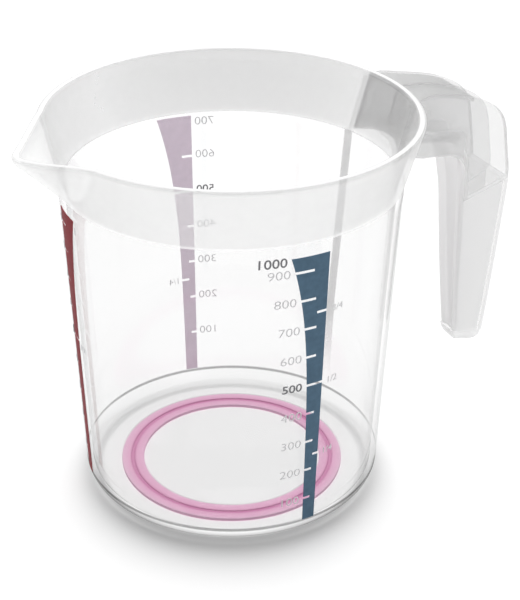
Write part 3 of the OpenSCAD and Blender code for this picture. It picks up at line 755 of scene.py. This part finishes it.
def text_cells(body, size, bold):
    """Outline triangles of a number in millimetres, centred on its own middle."""
    cu = bpy.data.curves.new("numeral", "FONT")
    cu.body = body
    cu.size = size
    cu.resolution_u = 4
    cu.offset = bold
    cu.align_x, cu.align_y = "LEFT", "BOTTOM_BASELINE"
    ob = bpy.data.objects.new("numeral", cu)
    scene.collection.objects.link(ob)
    bpy.context.view_layer.update()
    me = bpy.data.meshes.new_from_object(ob.evaluated_get(bpy.context.evaluated_depsgraph_get()))
    pts = [(v.co.x, v.co.y) for v in me.vertices]
    faces = [tuple(p.vertices) for p in me.polygons]
    bpy.data.objects.remove(ob)
    bpy.data.curves.remove(cu)
    bpy.data.meshes.remove(me)
    return pts, faces


def numbers(name, items, node, slot):
    """Numerals as thin solids on the wall. Each item: text, angle, u, z, height, side (-1 ends at u), dark."""
    verts, faces, dark_faces = [], [], []
    for body, turn, u, z, h, at, dark, stretch in items:
        pts, fs = text_cells(body, 10.0, 0.1 if dark else -0.1)
        x0, x1 = min(p[0] for p in pts), max(p[0] for p in pts)
        y0, y1 = min(p[1] for p in pts), max(p[1] for p in pts)
        k = h / (y1 - y0)
        kx = k * stretch
        width = (x1 - x0) * kx
        left = u - width if at < 0 else u
        flat = [(left + (x - x0) * kx, z + (y - (y0 + y1) / 2) * k) for x, y in pts]
        base = len(verts)
        n = len(flat)
        verts += [wrap(turn, a, b, 0.02 + INK) for a, b in flat]
        verts += [wrap(turn, a, b, 0.02) for a, b in flat]
        edges = {}
        for f in fs:
            if dark:
                dark_faces.append(len(faces))
            faces.append(tuple(base + i for i in f))
            if dark:
                dark_faces.append(len(faces))
            faces.append(tuple(base + n + i for i in reversed(f)))
            for i, j in zip(f, f[1:] + f[:1]):
                if (j, i) in edges:
                    del edges[(j, i)]
                else:
                    edges[(i, j)] = 1
        for i, j in edges:
            if dark:
                dark_faces.append(len(faces))
            faces.append((base + i, base + n + i, base + n + j, base + j))
    ob = make(name, verts, faces, GREY, 50, (node,), slot)
    if dark_faces and len(ob.data.polygons) == len(faces):
        ob.data.materials.append(BOLD)
        for i in dark_faces:
            ob.data.polygons[i].material_index = 1
    return ob


def blue_scale():
    turn, z0 = -83.3, PRINT_Z
    hundreds = [level(v) for v in (100, 200, 300, 400, 600, 700, 800, 900)]
    bar("scale_blue", turn, z0, SCALE_TOP, -1, [level(500)], [level(250), level(750)], hundreds, BLUE, "blue_scale_bar", "blue_ink")
    edge = lambda z: -bar_w((z - z0) / (SCALE_TOP - z0))
    items = [("1000", turn, edge(SCALE_TOP) - 1.3, level(900) + 4.4, NUMERAL_H * 1.1, -1, True, 1.05)]
    for v in range(100, 1000, 100):
        items.append((str(v), turn, edge(level(v)) - 1.7, level(v), NUMERAL_H, -1, v == 500, 1.12))
    for t, v in (("3/4", 750), ("1/2", 500), ("1/4", 250)):
        items.append((t, turn, 2.4, level(v), 2.4, 1, False, 1.0))
    numbers("scale_blue_numbers", items, "blue_scale_numbers", "grey_ink")


def red_scale():
    turn, z0 = 171.0, PRINT_Z
    hundreds = [level(v) for v in (100, 200, 300, 400, 600, 700, 800, 900)]
    bar("scale_red", turn, z0, SCALE_TOP, 1, [level(500)], hundreds, [], RED, "red_scale_bar", "red_ink")
    edge = lambda z: bar_w((z - z0) / (SCALE_TOP - z0))
    items = [(str(v), turn, -1.6, level(100 * v), NUMERAL_H, -1, v == 5, 1.1) for v in range(1, 10)]
    items.append(("1", turn, edge(SCALE_TOP - 3) + 1.2, SCALE_TOP - 3.4, 2.6, 1, False, 1.1))
    items.append(("1/2", turn, edge(level(500)) + 2.0, level(500) - 1.5, 2.4, 1, False, 1.0))
    numbers("scale_red_numbers", items, "red_scale_numbers", "grey_ink")


def mauve_scale():
    turn, z0, z1 = 79.8, PRINT_Z + 0.5, SCALE_TOP + 2.4
    dry = lambda n: level(DRY_HEEL + DRY_STEP * n)
    bar("scale_mauve", turn, z0, z1, 1, [dry(5)], [dry(n) for n in (1, 2, 3, 4, 6)], [dry(2.5)], MAUVE, "mauve_scale_bar", "mauve_ink")
    edge = lambda z: bar_w((z - z0) / (z1 - z0))
    items = [("700", turn, -1.4, z1 - 2.2, NUMERAL_H, -1, False, 1.12)]
    items += [(str(100 * n), turn, -1.4, dry(n) + 0.6, NUMERAL_H, -1, n == 5, 1.12) for n in range(1, 7)]
    items.append(("1/4", turn, edge(dry(2.5)) + 1.6, dry(2.5), 2.4, 1, False, 1.0))
    numbers("scale_mauve_numbers", items, "mauve_scale_numbers", "grey_ink")


vessel()
for piece in (collar(), handle_shell(), handle_cover()):
    piece.visible_shadow = False
base_ring().visible_shadow = False
blue_scale()
red_scale()
mauve_scale()
for piece in scene.objects:                     # ink casts no shadow of its own
    if piece.name.startswith("scale_"):
        piece.visible_shadow = False


# ---------------------------------------------------------------- stage
def floor():
    me = bpy.data.meshes.new("floor")
    s = 40.0
    me.from_pydata([(-s, -s, 0), (s, -s, 0), (s, s, 0), (-s, s, 0)], [], [(0, 1, 2, 3)])
    m = Nodes("floor_white")
    p = m.set(m.add("ShaderNodeBsdfPrincipled"), Specular_IOR_Level=0.0, Roughness=0.9)
    m.link(m.ramp(m.noise(m.coords(), 6, 2), [(0.3, (0.885, 0.885, 0.885)), (0.7, (0.9, 0.9, 0.9))]), p.inputs["Base Color"])
    m.link(p.outputs[0], m.out.inputs["Surface"])
    me.materials.append(m.mat)
    ob = bpy.data.objects.new("floor", me)
    scene.collection.objects.link(ob)


floor()


def world():
    w = bpy.data.worlds.new("studio")
    scene.world = w
    w.use_nodes = True
    nt = w.node_tree
    nt.nodes.clear()
    out = nt.nodes.new("ShaderNodeOutputWorld")
    bg = nt.nodes.new("ShaderNodeBackground")
    bg.inputs["Color"].default_value = (1, 1, 1, 1)
    bg.inputs["Strength"].default_value = 0.4
    nt.links.new(bg.outputs[0], out.inputs[0])


world()


def sun(name, azimuth, elevation, soft, power):
    li = bpy.data.lights.new(name, "SUN")
    li.angle = math.radians(soft)
    li.energy = power
    ob = bpy.data.objects.new(name, li)
    scene.collection.objects.link(ob)
    a, e = math.radians(azimuth), math.radians(elevation)
    ob.rotation_euler = Vector((math.cos(a) * math.cos(e), math.sin(a) * math.cos(e), math.sin(e))).to_track_quat("Z", "Y").to_euler()


sun("key_back", 64.0, 60, 48, 3.1)

# ---------------------------------------------------------------- camera
PITCH, YAW, ROLL, FIT = (math.radians(a) for a in (28.837, 1.245, 0.514, -25.0))
fw = Vector((math.sin(YAW) * math.cos(PITCH), math.cos(YAW) * math.cos(PITCH), -math.sin(PITCH)))
rt = Vector((math.cos(YAW), -math.sin(YAW), 0))
up = rt.cross(fw)
rt, up = math.cos(ROLL) * rt + math.sin(ROLL) * up, -math.sin(ROLL) * rt + math.cos(ROLL) * up
spin = Matrix.Rotation(FIT, 3, "Z")
rt, up, fw = spin @ rt, spin @ up, spin @ fw
cam = bpy.data.cameras.new("camera")
cam.sensor_width = 36.0
cam.lens = 1498.614 * 36.0 / 600.0
cam.clip_start, cam.clip_end = 0.01, 100.0
cam_ob = bpy.data.objects.new("camera", cam)
scene.collection.objects.link(cam_ob)
cam_ob.matrix_world = Matrix(((rt.x, up.x, -fw.x, -0.194513), (rt.y, up.y, -fw.y, -0.417135), (rt.z, up.z, -fw.z, 0.319195), (0, 0, 0, 1)))
scene.camera = cam_ob

scene.view_settings.view_transform = "Standard"
scene.cycles.max_bounces = 24
scene.cycles.transmission_bounces = 20
scene.cycles.transparent_max_bounces = 32
scene.cycles.glossy_bounces = 6
scene.cycles.diffuse_bounces = 4

# ---------------------------------------------------------------- size and end
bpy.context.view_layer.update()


def plain(box):
    return [[float(c) for c in corner] for corner in box]
